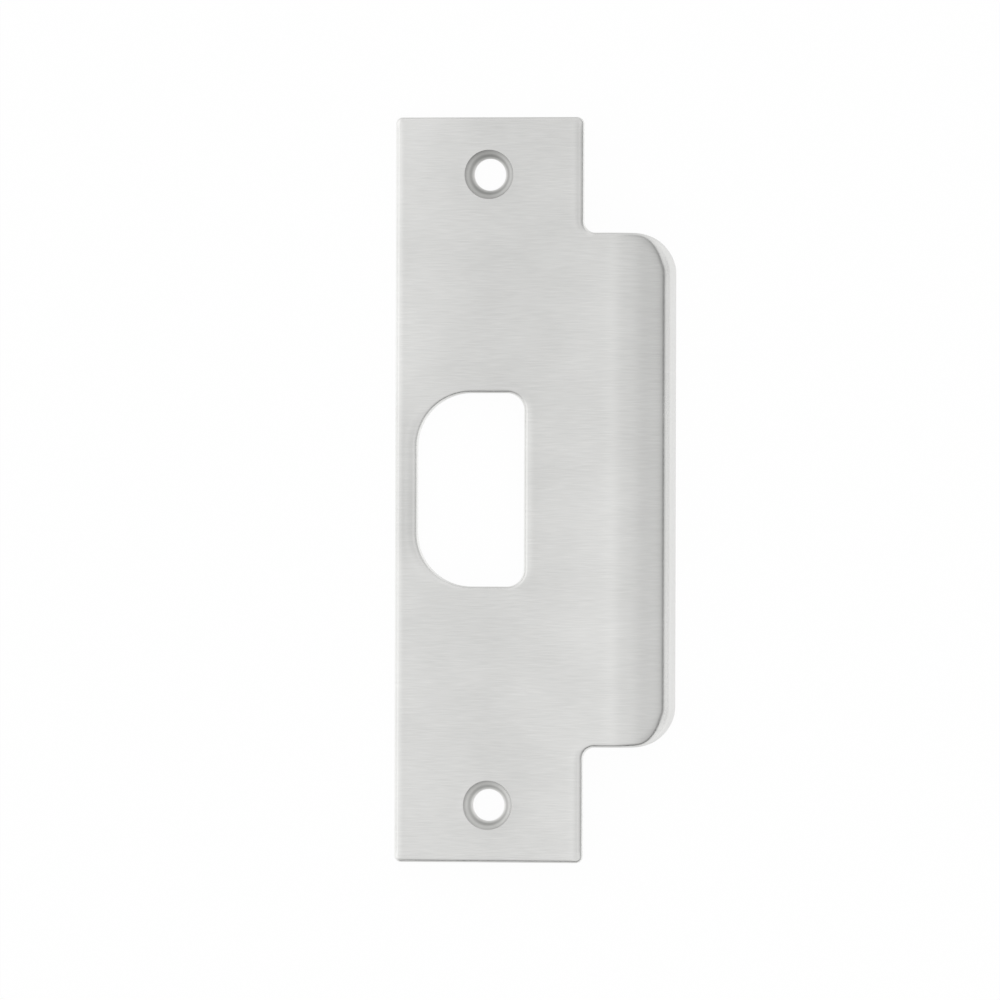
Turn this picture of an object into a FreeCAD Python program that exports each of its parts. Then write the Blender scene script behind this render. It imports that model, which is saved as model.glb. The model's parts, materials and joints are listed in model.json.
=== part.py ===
import FreeCAD, Part
import math
import os

# Door strike plate: one stamping of stainless sheet with a bent lip, in millimetres.
# The back of the flat plate lies in Z = 0 and its front face looks up, along +Z.
# Y runs along the plate, X across it towards the lip, and both screw holes are on X = 0.

# Plate
PLATE_LENGTH = 123.8
PLATE_WIDTH = 31.5
SHEET_THICKNESS = 2.4
PLATE_CORNER_RADIUS = 1.1

# Lip, which carries the latch over the edge of the door frame. A tab of TAB_LENGTH is left
# beyond each of its ends. LIP_REACH goes from the plate's edge to the nose, and LIP_FLAT is
# the part of it that stays flat before the bend.
TAB_LENGTH = 19.2
LIP_REACH = 14.65
LIP_FLAT = 3.75
LIP_CORNER_RADIUS = 6.65
LIP_ROOT_RADIUS = 2.0
LIP_ANGLE = 36.0
BEND_INNER_RADIUS = 6.0

# Nose of the lip: its end face leans by NOSE_LEAN from square to the plate, away from the screws
NOSE_LEAN = 19.0

# Latch hole: round corners on the side away from the lip, tight ones beside it.
# LATCH_HOLE_MARGIN is the strip of plate between it and the plate's long edge.
LATCH_HOLE_WIDTH = 17.9
LATCH_HOLE_LENGTH = 32.2
LATCH_HOLE_MARGIN = 3.7
LATCH_HOLE_ROUND_RADIUS = 9.0
LATCH_HOLE_TIGHT_RADIUS = 2.9

# Screw holes, whose centres are 104.775 apart
SCREW_END_DISTANCE = 9.5125
SCREW_HOLE_DIAMETER = 5.3
COUNTERSINK_DIAMETER = 8.2
COUNTERSINK_ANGLE = 82.0

# Rounded edges: what the punch leaves round the front, the softer front edge of the nose,
# and the broken edge round the back, which is also the nose's tip
FRONT_EDGE_RADIUS = 0.8
NOSE_EDGE_RADIUS = 1.8
BACK_EDGE_RADIUS = 0.3

# Modelling values: how far cutting tools run past what they cut, and the test for a shared point
OVERRUN = 5.0
TOLERANCE = 1e-4

HALF_WIDTH = PLATE_WIDTH / 2
HALF_LENGTH = PLATE_LENGTH / 2
HALF_LIP = HALF_LENGTH - TAB_LENGTH
BEND_START = HALF_WIDTH + LIP_FLAT
NOSE_X = HALF_WIDTH + LIP_REACH
SCREW_Y = HALF_LENGTH - SCREW_END_DISTANCE
BEND_OUTER_RADIUS = BEND_INNER_RADIUS + SHEET_THICKNESS
SLOPE = math.radians(LIP_ANGLE)
LEAN = math.radians(NOSE_LEAN)
UP = FreeCAD.Vector(0, 0, 1)
ALONG = FreeCAD.Vector(0, 1, 0)
SLOPE_NORMAL = FreeCAD.Vector(math.sin(SLOPE), 0, math.cos(SLOPE))
NOSE_DIRECTION = FreeCAD.Vector(math.sin(LEAN), 0, -math.cos(LEAN))


def rounded_outline(corners, height):
    """Closed wire in the plane Z = height through (x, y, radius) corners, each with a tangent arc."""
    points = [FreeCAD.Vector(x, y, height) for x, y, radius in corners]
    starts, arcs = [], []
    for i, (x, y, radius) in enumerate(corners):
        corner = points[i]
        back = (points[i - 1] - corner).normalize()
        ahead = (points[(i + 1) % len(points)] - corner).normalize()
        half_angle = back.getAngle(ahead) / 2
        reach = radius / math.tan(half_angle)
        middle = (back + ahead).normalize()
        centre = corner + middle * (radius / math.sin(half_angle))
        starts.append((corner + back * reach, corner + ahead * reach))
        if radius > 0:
            arcs.append(Part.Arc(starts[i][0], centre - middle * radius, starts[i][1]).toShape())
    sides = []
    for i in range(len(corners)):
        begin = starts[i - 1][1]
        end = starts[i][0]
        if begin.distanceToPoint(end) > TOLERANCE:
            sides.append(Part.LineSegment(begin, end).toShape())
    return Part.Wire(Part.__sortEdges__(sides + arcs))


def in_profile(x, z):
    """Point of the sheet's section, which lies at the plate's lower end."""
    return FreeCAD.Vector(x, -HALF_LENGTH, z)


def bend_point(radius, angle):
    """Point of the section at that radius about the bend's centre, turned by angle from upright."""
    return in_profile(
        BEND_START + radius * math.sin(angle),
        radius * math.cos(angle) - BEND_INNER_RADIUS,
    )


def bent_sheet():
    """The sheet's section, flat, bend and sloping lip, drawn out over the plate's length."""
    run_out = FreeCAD.Vector(math.cos(SLOPE), 0, -math.sin(SLOPE)) * (LIP_REACH + OVERRUN)
    outer_start = bend_point(BEND_OUTER_RADIUS, 0)
    outer_end = bend_point(BEND_OUTER_RADIUS, SLOPE)
    inner_start = bend_point(BEND_INNER_RADIUS, 0)
    inner_end = bend_point(BEND_INNER_RADIUS, SLOPE)
    left_back = in_profile(-HALF_WIDTH - OVERRUN, 0)
    left_front = in_profile(-HALF_WIDTH - OVERRUN, SHEET_THICKNESS)
    section = Part.Wire([
        Part.LineSegment(left_back, left_front).toShape(),
        Part.LineSegment(left_front, outer_start).toShape(),
        Part.Arc(outer_start, bend_point(BEND_OUTER_RADIUS, SLOPE / 2), outer_end).toShape(),
        Part.LineSegment(outer_end, outer_end + run_out).toShape(),
        Part.LineSegment(outer_end + run_out, inner_end + run_out).toShape(),
        Part.LineSegment(inner_end + run_out, inner_end).toShape(),
        Part.Arc(inner_end, bend_point(BEND_INNER_RADIUS, SLOPE / 2), inner_start).toShape(),
        Part.LineSegment(inner_start, left_back).toShape(),
    ])
    return Part.Face(section).extrude(ALONG * PLATE_LENGTH)


def plate_prism():
    """Plate and root of the lip seen from the front, as a square cut through the sheet."""
    outline = rounded_outline([
        (-HALF_WIDTH, -HALF_LENGTH, PLATE_CORNER_RADIUS),
        (HALF_WIDTH, -HALF_LENGTH, PLATE_CORNER_RADIUS),
        (HALF_WIDTH, -HALF_LIP, LIP_ROOT_RADIUS),
        (BEND_START, -HALF_LIP, 0),
        (BEND_START, HALF_LIP, 0),
        (HALF_WIDTH, HALF_LIP, LIP_ROOT_RADIUS),
        (HALF_WIDTH, HALF_LENGTH, PLATE_CORNER_RADIUS),
        (-HALF_WIDTH, HALF_LENGTH, PLATE_CORNER_RADIUS),
    ], -OVERRUN)
    return Part.Face(outline).extrude(UP * (SHEET_THICKNESS + 2 * OVERRUN))


def nose_apex():
    """Where the nose's end face would meet the back of the lip if its tip were sharp."""
    wedge = math.pi / 2 - SLOPE - LEAN
    apex_to_centre = BACK_EDGE_RADIUS / math.sin(wedge / 2)
    x = NOSE_X - BACK_EDGE_RADIUS + apex_to_centre * math.cos(SLOPE + wedge / 2)
    inner_end = bend_point(BEND_INNER_RADIUS, SLOPE)
    return FreeCAD.Vector(x, 0, inner_end.z - (x - inner_end.x) * math.tan(SLOPE))


def lip_prism():
    """Outline of the lip seen from the front, laid on the back of its slope and drawn out along the nose."""
    apex = nose_apex()
    outline = rounded_outline([
        (0, -HALF_LIP, 0),
        (apex.x, -HALF_LIP, LIP_CORNER_RADIUS),
        (apex.x, HALF_LIP, LIP_CORNER_RADIUS),
        (0, HALF_LIP, 0),
    ], 0)
    lay_on_slope = FreeCAD.Matrix()
    lay_on_slope.A31 = -math.tan(SLOPE)
    lay_on_slope.A34 = apex.z + apex.x * math.tan(SLOPE)
    laid = Part.Face(outline.transformGeometry(lay_on_slope))
    run = NOSE_X + OVERRUN
    laid.translate(NOSE_DIRECTION * run)
    return laid.extrude(NOSE_DIRECTION * (-2 * run))


def latch_hole():
    """Punch for the latch hole."""
    left = LATCH_HOLE_MARGIN - HALF_WIDTH
    right = left + LATCH_HOLE_WIDTH
    half = LATCH_HOLE_LENGTH / 2
    outline = rounded_outline([
        (left, -half, LATCH_HOLE_ROUND_RADIUS),
        (right, -half, LATCH_HOLE_TIGHT_RADIUS),
        (right, half, LATCH_HOLE_TIGHT_RADIUS),
        (left, half, LATCH_HOLE_ROUND_RADIUS),
    ], -OVERRUN)
    return Part.Face(outline).extrude(UP * (SHEET_THICKNESS + 2 * OVERRUN))


def screw_hole(y):
    """Drill and countersink for the screw hole at that height along the plate."""
    slant = math.tan(math.radians(COUNTERSINK_ANGLE / 2))
    cone_depth = COUNTERSINK_DIAMETER / 2 / slant
    drill = Part.makeCylinder(
        SCREW_HOLE_DIAMETER / 2,
        SHEET_THICKNESS + 2 * OVERRUN,
        FreeCAD.Vector(0, y, -OVERRUN),
    )
    countersink = Part.makeCone(
        0,
        COUNTERSINK_DIAMETER / 2 + OVERRUN * slant,
        cone_depth + OVERRUN,
        FreeCAD.Vector(0, y, SHEET_THICKNESS - cone_depth),
    )
    return drill.fuse(countersink)


def is_front(face):
    """True for the three faces of the sheet's front: the flat, the outside of the bend and the slope."""
    u_low, u_high, v_low, v_high = face.ParameterRange
    u = (u_low + u_high) / 2
    v = (v_low + v_high) / 2
    point = face.valueAt(u, v)
    normal = face.normalAt(u, v)
    bend_centre = FreeCAD.Vector(BEND_START, point.y, -BEND_INNER_RADIUS)
    on_flat = abs(point.z - SHEET_THICKNESS) < TOLERANCE and normal.z > 1 - TOLERANCE
    on_slope = (
        normal.distanceToPoint(SLOPE_NORMAL) < TOLERANCE
        and abs((point - bend_centre).dot(SLOPE_NORMAL) - BEND_OUTER_RADIUS) < TOLERANCE
    )
    on_bend = normal.z > 0 and abs(point.distanceToPoint(bend_centre) - BEND_OUTER_RADIUS) < TOLERANCE
    return on_flat or on_slope or on_bend


def front_rim(solid):
    """Numbers of the edges round the front, but not the countersinks' rims or the lines of the bend."""
    seen = {}
    for face in solid.Faces:
        if is_front(face):
            for edge in face.Edges:
                seen[edge.hashCode()] = seen.get(edge.hashCode(), 0) + 1
    rim = []
    for number, edge in enumerate(solid.Edges, 1):
        is_rim = seen.get(edge.hashCode(), 0) == 1
        is_countersink = (
            isinstance(edge.Curve, Part.Circle)
            and abs(edge.Curve.Radius - COUNTERSINK_DIAMETER / 2) < TOLERANCE
        )
        if is_rim and not is_countersink:
            rim.append(number)
    return rim


def front_radius(point):
    """Radius of the rounding where two edges of the front's rim meet."""
    straight_half = HALF_LIP - LIP_CORNER_RADIUS
    on_nose = point.x > BEND_START and abs(point.y) < straight_half + TOLERANCE
    return NOSE_EDGE_RADIUS if on_nose else FRONT_EDGE_RADIUS


def round_front_edges(solid):
    """Rounds the front's rim. Round the lip's corners the radius grows towards the nose."""
    rows = []
    for number in front_rim(solid):
        edge = solid.Edges[number - 1]
        start_radius = front_radius(edge.valueAt(edge.FirstParameter))
        end_radius = front_radius(edge.valueAt(edge.LastParameter))
        rows.append((number, start_radius, end_radius))
    return fillet(solid, rows)


def round_back_edges(solid):
    """Rounds the nose's tip. The rounding runs on round the back, because its rim is one smooth line."""
    inner_end = bend_point(BEND_INNER_RADIUS, SLOPE)
    straight_half = HALF_LIP - LIP_CORNER_RADIUS
    rows = []
    for number, edge in enumerate(solid.Edges, 1):
        middle = edge.valueAt((edge.FirstParameter + edge.LastParameter) / 2)
        on_back = abs((middle - inner_end).dot(SLOPE_NORMAL)) < TOLERANCE
        past_bend = middle.x > inner_end.x + TOLERANCE
        between_corners = abs(middle.y) < straight_half
        if on_back and past_bend and between_corners:
            rows.append((number, BACK_EDGE_RADIUS, BACK_EDGE_RADIUS))
    return fillet(solid, rows)


def fillet(solid, rows):
    """Rounds edges given as (edge number, radius at its start, radius at its end)."""
    document = FreeCAD.newDocument()
    base = document.addObject("Part::Feature", "Base")
    base.Shape = solid
    rounding = document.addObject("Part::Fillet", "Rounding")
    rounding.Base = base
    rounding.Edges = rows
    document.recompute()
    result = rounding.Shape.copy()
    FreeCAD.closeDocument(document.Name)
    return result


def strike_plate():
    """The finished stamping."""
    blank = plate_prism().fuse(lip_prism()).removeSplitter()
    solid = bent_sheet().common(blank)
    solid = solid.cut(latch_hole())
    for side in (-1, 1):
        solid = solid.cut(screw_hole(side * SCREW_Y))
    solid = solid.removeSplitter().Solids[0]
    solid = round_front_edges(solid)
    solid = round_back_edges(solid)
    return solid.Solids[0]


def main():
    os.makedirs("parts", exist_ok=True)
    plate = strike_plate()
    plate.exportStep("parts/strike_plate.step")
    box = plate.optimalBoundingBox()
    print("valid", plate.isValid(), "volume", round(plate.Volume, 2), "faces", len(plate.Faces))
    print("X", round(box.XMin, 3), round(box.XMax, 3))
    print("Y", round(box.YMin, 3), round(box.YMax, 3))
    print("Z", round(box.ZMin, 3), round(box.ZMax, 3))


main()
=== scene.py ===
import json
import math

import bpy
import numpy as np
from mathutils import Matrix, Vector


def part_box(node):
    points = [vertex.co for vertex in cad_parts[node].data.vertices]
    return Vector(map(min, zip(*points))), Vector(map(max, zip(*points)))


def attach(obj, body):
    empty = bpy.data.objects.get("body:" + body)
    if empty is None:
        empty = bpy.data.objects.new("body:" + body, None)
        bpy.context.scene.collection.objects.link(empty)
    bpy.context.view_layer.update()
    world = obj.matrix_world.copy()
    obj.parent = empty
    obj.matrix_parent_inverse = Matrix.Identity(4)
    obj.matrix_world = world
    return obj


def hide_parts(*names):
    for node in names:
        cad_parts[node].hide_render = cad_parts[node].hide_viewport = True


bl_info = {
    "name": "Door Strike Plate",
    "version": (1, 0, 0),
    "blender": (4, 5, 0),
    "location": "View3D > Sidebar > Strike Plate",
    "description": "Builds a satin stainless door strike plate and a plain studio to look at it",
    "category": "Add Mesh",
}

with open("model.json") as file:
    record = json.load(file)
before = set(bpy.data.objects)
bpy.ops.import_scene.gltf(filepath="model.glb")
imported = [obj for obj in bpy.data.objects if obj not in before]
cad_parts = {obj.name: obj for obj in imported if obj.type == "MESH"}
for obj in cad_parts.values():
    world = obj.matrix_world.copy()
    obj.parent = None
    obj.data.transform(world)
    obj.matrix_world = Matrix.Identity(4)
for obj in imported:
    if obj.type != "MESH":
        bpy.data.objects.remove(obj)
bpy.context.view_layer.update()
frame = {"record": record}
NODE = "strike_plate"


def mount_dims(name):
    """Dimensions of one of the record's mounts, in millimetres."""
    for mount in frame["record"]["mounts"]:
        if mount["name"] == name:
            return mount["dims"]
    raise RuntimeError("the record has no mount named " + name)


LOW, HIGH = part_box(NODE)
SCREWS = mount_dims("screw_holes")

# How finely the surfaces are divided. Of the seam between the plate and its lip, the block round
# each screw hole takes END_BLOCK_STEPS and the block round the latch hole the rest. The steps round
# the latch hole add up to those round its block, so that all the seams share points.
LEFT_EDGE_STEPS = 24
PLATE_CORNER_STEPS = 8
SHORT_EDGE_STEPS = 32
TAB_EDGE_STEPS = 16
ROOT_STEPS = 12
LIP_SIDE_STEPS = 24
LIP_CORNER_STEPS = 24
ACROSS_STEPS = 64
END_BLOCK_STEPS = 8
ROLL_STEPS = 12
WALL_STEPS = 4
BACK_EDGE_STEPS = 9
HOLE_BLOCK_STEPS = 26
SCREW_BLOCK_STEPS = 22
LATCH_ROUND_STEPS = 24
LATCH_TIGHT_STEPS = 16
LATCH_SHORT_STEPS = 12
LATCH_LEFT_STEPS = 24
LATCH_RIGHT_STEPS = 32

# The part of the steps along the lip that is spread evenly. The rest crowds towards its corners.
EVEN_PART = 0.35

# Rounds after which a ball that slides up a leaning wall has settled at its level
SEAT_ROUNDS = 8

# Steps round a countersink's rim, and the spacing of a line's points as a share of its field's width
CIRCLE_STEPS = 96
FIELD_SPACING = 0.4

# Points that lie nearer to each other than this, in metres, are one point
WELD = 1e-7

# Painted highlight on the cut metal, strongest on walls that face across the plate: how much less where a
# wall leans, and how much on a screw hole's sides
HIGHLIGHT_LEAN_LOSS = 0.33
SCREW_HIGHLIGHT = 0.38

UP = np.array([0.0, 0.0, 1.0])
MIRROR = np.array([1.0, -1.0, 1.0])


class PlateSizes(bpy.types.PropertyGroup):
    """Sizes of the stamping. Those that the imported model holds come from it."""

    length: bpy.props.FloatProperty(
        name="Length", description="Length of the flat plate",
        default=HIGH.y - LOW.y, unit="LENGTH")
    width: bpy.props.FloatProperty(
        name="Width", description="Width of the flat plate without its lip",
        default=-2 * LOW.x, unit="LENGTH")
    thickness: bpy.props.FloatProperty(
        name="Thickness", description="Thickness of the sheet",
        default=HIGH.z, unit="LENGTH")
    nose: bpy.props.FloatProperty(
        name="Nose", description="From the line of the screws to the lip's nose",
        default=HIGH.x, unit="LENGTH")
    corner_radius: bpy.props.FloatProperty(
        name="Plate Corner Radius", description="Radius of the plate's four corners",
        default=0.0011, unit="LENGTH")
    tab_length: bpy.props.FloatProperty(
        name="Tab Length", description="Length of plate beyond each end of the lip",
        default=0.0192, unit="LENGTH")
    lip_flat: bpy.props.FloatProperty(
        name="Lip Flat", description="From the plate's edge to the start of the bend",
        default=0.00375, unit="LENGTH")
    lip_corner_radius: bpy.props.FloatProperty(
        name="Lip Corner Radius", description="Radius of the lip's corners seen from the front",
        default=0.00665, unit="LENGTH")
    lip_root_radius: bpy.props.FloatProperty(
        name="Lip Root Radius", description="Radius between a tab and the lip",
        default=0.002, unit="LENGTH")
    lip_angle: bpy.props.FloatProperty(
        name="Lip Angle", description="Angle that the lip is bent back by",
        default=math.radians(36), subtype="ANGLE", unit="ROTATION")
    bend_radius: bpy.props.FloatProperty(
        name="Bend Radius", description="Radius of the bend's inside",
        default=0.006, unit="LENGTH")
    bend_ease_in: bpy.props.FloatProperty(
        name="Bend Ease In", description="Turn over which the bend starts softly",
        default=math.radians(9), subtype="ANGLE", unit="ROTATION")
    bend_ease_out: bpy.props.FloatProperty(
        name="Bend Ease Out", description="Turn over which the bend ends softly",
        default=math.radians(13), subtype="ANGLE", unit="ROTATION")
    nose_lean: bpy.props.FloatProperty(
        name="Nose Lean", description="Lean of the lip's end face from square to the plate",
        default=math.radians(15.4), subtype="ANGLE", unit="ROTATION")
    lean_end: bpy.props.FloatProperty(
        name="Lean End", description="Turn round the lip's corner at which the lean has faded away",
        default=math.radians(82), subtype="ANGLE", unit="ROTATION")
    lean_fade: bpy.props.FloatProperty(
        name="Lean Fade", description="Turn round the lip's corner over which the lean fades away",
        default=math.radians(58), subtype="ANGLE", unit="ROTATION")
    latch_width: bpy.props.FloatProperty(
        name="Latch Hole Width", description="Width of the latch hole",
        default=0.0179, unit="LENGTH")
    latch_length: bpy.props.FloatProperty(
        name="Latch Hole Length", description="Length of the latch hole",
        default=0.0322, unit="LENGTH")
    latch_margin: bpy.props.FloatProperty(
        name="Latch Hole Margin", description="Strip between the latch hole and the long edge",
        default=0.0037, unit="LENGTH")
    latch_round_radius: bpy.props.FloatProperty(
        name="Round Corner Radius", description="Radius of the latch hole's corners by the long edge",
        default=0.009, unit="LENGTH")
    latch_tight_radius: bpy.props.FloatProperty(
        name="Tight Corner Radius", description="Radius of the latch hole's corners by the lip",
        default=0.0029, unit="LENGTH")
    screw_spacing: bpy.props.FloatProperty(
        name="Screw Spacing", description="Distance between the screw holes",
        default=SCREWS["spacing_y_mm"] / 1000, unit="LENGTH")
    screw_radius: bpy.props.FloatProperty(
        name="Screw Hole Radius", description="Radius of the screw holes' bores",
        default=SCREWS["hole_r_mm"] / 1000, unit="LENGTH")
    sink_radius: bpy.props.FloatProperty(
        name="Countersink Radius", description="Radius of the countersinks at the front",
        default=0.0041, unit="LENGTH")
    sink_angle: bpy.props.FloatProperty(
        name="Countersink Angle", description="Full angle of the countersinks",
        default=math.radians(82), subtype="ANGLE", unit="ROTATION")
    roll_radius: bpy.props.FloatProperty(
        name="Roll Radius", description="Radius that the punch leaves round the front",
        default=0.0008, unit="LENGTH")
    nose_roll_radius: bpy.props.FloatProperty(
        name="Nose Roll Radius", description="Radius of the front edge of the lip's nose",
        default=0.0040, unit="LENGTH")
    back_radius: bpy.props.FloatProperty(
        name="Back Edge Radius", description="Radius of the broken edge round the back",
        default=0.0003, unit="LENGTH")
    burr_radius: bpy.props.FloatProperty(
        name="Burr Radius", description="Radius of the edges of the holes at the back",
        default=0.00008, unit="LENGTH")
    belt_least: bpy.props.FloatProperty(
        name="Least Belt Wear", description="Wear of the edges along the belt, as a share of the others",
        default=0.3, subtype="FACTOR")
    edge_sag: bpy.props.FloatProperty(
        name="Edge Sag", description="How far the front sinks towards the outline",
        default=0.0005, unit="LENGTH")
    edge_sag_width: bpy.props.FloatProperty(
        name="Edge Sag Width", description="How far in from the outline the front sinks",
        default=0.001, unit="LENGTH")
    nose_sag: bpy.props.FloatProperty(
        name="Nose Sag", description="How much further the lip sinks towards its nose",
        default=0.00011, unit="LENGTH")
    nose_sag_width: bpy.props.FloatProperty(
        name="Nose Sag Width", description="How far in from the nose the lip sinks",
        default=0.0014, unit="LENGTH")
    latch_sag: bpy.props.FloatProperty(
        name="Latch Hole Sag", description="How far the front sinks towards the latch hole",
        default=0.0005, unit="LENGTH")
    latch_sag_width: bpy.props.FloatProperty(
        name="Latch Hole Sag Width", description="How far out from the latch hole the front sinks",
        default=0.00115, unit="LENGTH")
    dish: bpy.props.FloatProperty(
        name="Dish", description="Depth of the wide dish that the punch leaves round the latch hole",
        default=0.0001, unit="LENGTH")
    dish_width: bpy.props.FloatProperty(
        name="Dish Width", description="How far out from the latch hole the dish reaches",
        default=0.0024, unit="LENGTH")
    sink_sag: bpy.props.FloatProperty(
        name="Countersink Sag", description="How far the front sinks towards a countersink",
        default=0.00005, unit="LENGTH")
    sink_sag_width: bpy.props.FloatProperty(
        name="Countersink Sag Width", description="How far out from a countersink the front sinks",
        default=0.0006, unit="LENGTH")


class SatinFinish(bpy.types.PropertyGroup):
    """Colour and brushing of the stainless, and gradients of painted light across its face."""

    light: bpy.props.FloatVectorProperty(
        name="Light Steel", description="Colour of the brightest streaks",
        default=(0.705, 0.705, 0.694), subtype="COLOR")
    dark: bpy.props.FloatVectorProperty(
        name="Dark Steel", description="Colour of the darkest streaks",
        default=(0.535, 0.535, 0.526), subtype="COLOR")
    roughness: bpy.props.FloatProperty(
        name="Roughness", description="Roughness of the brushed faces",
        default=0.24, subtype="FACTOR")
    cut_roughness: bpy.props.FloatProperty(
        name="Cut Roughness", description="Roughness of the punched walls",
        default=0.36, subtype="FACTOR")
    streak_length: bpy.props.FloatProperty(
        name="Streak Length", description="Length of a typical brush line",
        default=0.003, unit="LENGTH")
    streak_width: bpy.props.FloatProperty(
        name="Streak Width", description="Width of a typical brush line",
        default=0.00012, unit="LENGTH")
    turning_width: bpy.props.FloatProperty(
        name="Turning Spacing", description="From one turning mark in a countersink to the next",
        default=0.00095, unit="LENGTH")
    turning_place: bpy.props.FloatProperty(
        name="Turning Place", description="Radius of the lightest turning mark",
        default=0.00366, unit="LENGTH")
    streak_depth: bpy.props.FloatProperty(
        name="Streak Depth", description="Depth of a typical brush line",
        default=0.000004, unit="LENGTH")
    # The last three are painted light across the brushed face: lighter towards the foot, more so towards the
    # lip, and lighter away from the screws' line
    trend: bpy.props.FloatProperty(
        name="Trend", description="How much lighter the brushing gets for each metre towards the foot",
        default=1.6)
    twist: bpy.props.FloatProperty(
        name="Twist", description="How much the trend grows for each metre towards the lip",
        default=146.0)
    valley: bpy.props.FloatProperty(
        name="Valley", description="How much lighter the brushing gets for each metre from the screws' line",
        default=17.0)


class StudioSetup(bpy.types.PropertyGroup):
    """Camera, floor and light."""

    camera_distance: bpy.props.FloatProperty(
        name="Camera Distance", description="From the camera to the plate",
        default=1.5, unit="LENGTH")
    lens: bpy.props.FloatProperty(
        name="Lens", description="Focal length of the camera",
        default=325.25, unit="CAMERA")
    roll: bpy.props.FloatProperty(
        name="Roll", description="Turn of the camera about its line of sight",
        default=math.radians(0.147), subtype="ANGLE", unit="ROTATION")
    aim_x: bpy.props.FloatProperty(
        name="Aim Across", description="Point across the plate that the camera is aimed at",
        default=0.002, unit="LENGTH")
    aim_y: bpy.props.FloatProperty(
        name="Aim Along", description="Point along the plate that the camera is aimed at",
        default=-0.00168, unit="LENGTH")
    sky: bpy.props.FloatProperty(
        name="Sky", description="Brightness overhead", default=0.87)
    glow: bpy.props.FloatProperty(
        name="Glow", description="Light added by the strip lamp overhead", default=0.2)
    glow_place: bpy.props.FloatProperty(
        name="Glow Place", description="Place of the strip lamp across the picture", default=-0.02)
    glow_width: bpy.props.FloatProperty(
        name="Glow Width", description="Width of the strip lamp", default=0.38)
    right_fill: bpy.props.FloatProperty(
        name="Right Fill", description="Light added on the right", default=0.22)
    right_band: bpy.props.FloatProperty(
        name="Right Band", description="Light added low on the right", default=-0.9)
    right_width: bpy.props.FloatProperty(
        name="Right Band Width", description="Height of the band on the right", default=0.46)
    left_fill: bpy.props.FloatProperty(
        name="Left Fill", description="Light added on the left", default=0.4)
    left_band: bpy.props.FloatProperty(
        name="Left Band", description="Light added low on the left", default=0.0)
    left_width: bpy.props.FloatProperty(
        name="Left Band Width", description="Height of the band on the left", default=0.3)
    foot_fill: bpy.props.FloatProperty(
        name="Foot Fill", description="Light added towards the foot of the picture", default=-0.1)
    foot_band: bpy.props.FloatProperty(
        name="Foot Band", description="Light added low towards the foot of the picture", default=-1.0)
    foot_width: bpy.props.FloatProperty(
        name="Foot Band Width", description="Height of the band towards the foot", default=0.3)
    head_fill: bpy.props.FloatProperty(
        name="Head Fill", description="Light added towards the head of the picture", default=0.0)
    head_band: bpy.props.FloatProperty(
        name="Head Band", description="Light added low towards the head of the picture", default=0.1)
    head_width: bpy.props.FloatProperty(
        name="Head Band Width", description="Height of the band towards the head", default=0.3)
    floor_radius: bpy.props.FloatProperty(
        name="Floor Radius", description="Radius of the round floor",
        default=2.5, unit="LENGTH")


def unit(vectors):
    """Vectors scaled to length 1."""
    return vectors / np.linalg.norm(vectors, axis=-1, keepdims=True)


class BentSheet:
    """The sheet's section. Its back is Z = 0 up to the bend, then an arc, then a straight slope."""

    def __init__(self, sizes):
        self.angle = sizes.lip_angle
        self.thickness = sizes.thickness
        self.radius = sizes.bend_radius
        self.bend_start = sizes.width / 2 + sizes.lip_flat
        self.centre = np.array([self.bend_start, 0.0, -self.radius])
        self.ease_in = sizes.bend_ease_in
        self.ease_out = sizes.bend_ease_out

    def normals(self, points):
        """Front normal: (sin t, 0, cos t), where t is the turn about the bend's centre, held between
        0 on the flat and the lip's angle on the slope."""
        offset = points - self.centre
        turn = np.clip(np.arctan2(offset[..., 0], offset[..., 2]), 0.0, self.angle)
        return np.stack([np.sin(turn), np.zeros_like(turn), np.cos(turn)], axis=-1)

    def smoothing(self, points):
        """How much further the section is turned where its bend runs out softly. The turn s goes to
        (s + e)^2 / 4e within e of the bend's start, and likewise at its end."""
        offset = points - self.centre
        turn = np.arctan2(offset[..., 0], offset[..., 2])
        start = np.clip(turn, -self.ease_in, self.ease_in)
        end = np.clip(self.angle - turn, -self.ease_out, self.ease_out)
        return (
            (start + self.ease_in) ** 2 / (4 * self.ease_in) - np.maximum(start, 0.0)
            - (end + self.ease_out) ** 2 / (4 * self.ease_out) + np.maximum(end, 0.0)
        )

    def level(self, points):
        """Height over the sheet's back along its normal n: (point - centre) . n - bend radius."""
        return ((points - self.centre) * self.normals(points)).sum(-1) - self.radius

    def back(self, x):
        """Z of the back at x: 0, then the arc sqrt(r^2 - s^2) - r, then the slope -s tan(angle)."""
        across = np.clip(x - self.bend_start, 0.0, self.radius * math.sin(self.angle))
        arc = np.sqrt(self.radius ** 2 - across ** 2) - self.radius
        beyond = np.maximum(x - self.bend_start - self.radius * math.sin(self.angle), 0.0)
        return arc - beyond * math.tan(self.angle)


def straight(start, end, outward, steps):
    """Points p = start + s (end - start) for s from 0 up to but not with 1, and their outward normals."""
    share = np.arange(steps)[:, None] / steps
    points = np.array(start) + share * (np.array(end) - np.array(start))
    return points, np.broadcast_to(np.array(outward, float), points.shape)


def turn(centre, radius, first, last, steps, side=1.0):
    """Points centre + radius (cos a, sin a) for a from first up to but not with last, in degrees.
    Their outward normals are (cos a, sin a), or the opposite where side is -1."""
    angle = np.radians(first + (last - first) * np.arange(steps) / steps)
    ray = np.stack([np.cos(angle), np.sin(angle)], axis=-1)
    return np.array(centre) + radius * ray, side * ray


def across_shares():
    """Shares from -1 to 1 that lie closer together towards both ends: e s + (1 - e) sin(s pi / 2),
    where e is the even part."""
    share = np.linspace(-1.0, 1.0, ACROSS_STEPS + 1)
    return EVEN_PART * share + (1 - EVEN_PART) * np.sin(share * math.pi / 2)


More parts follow.
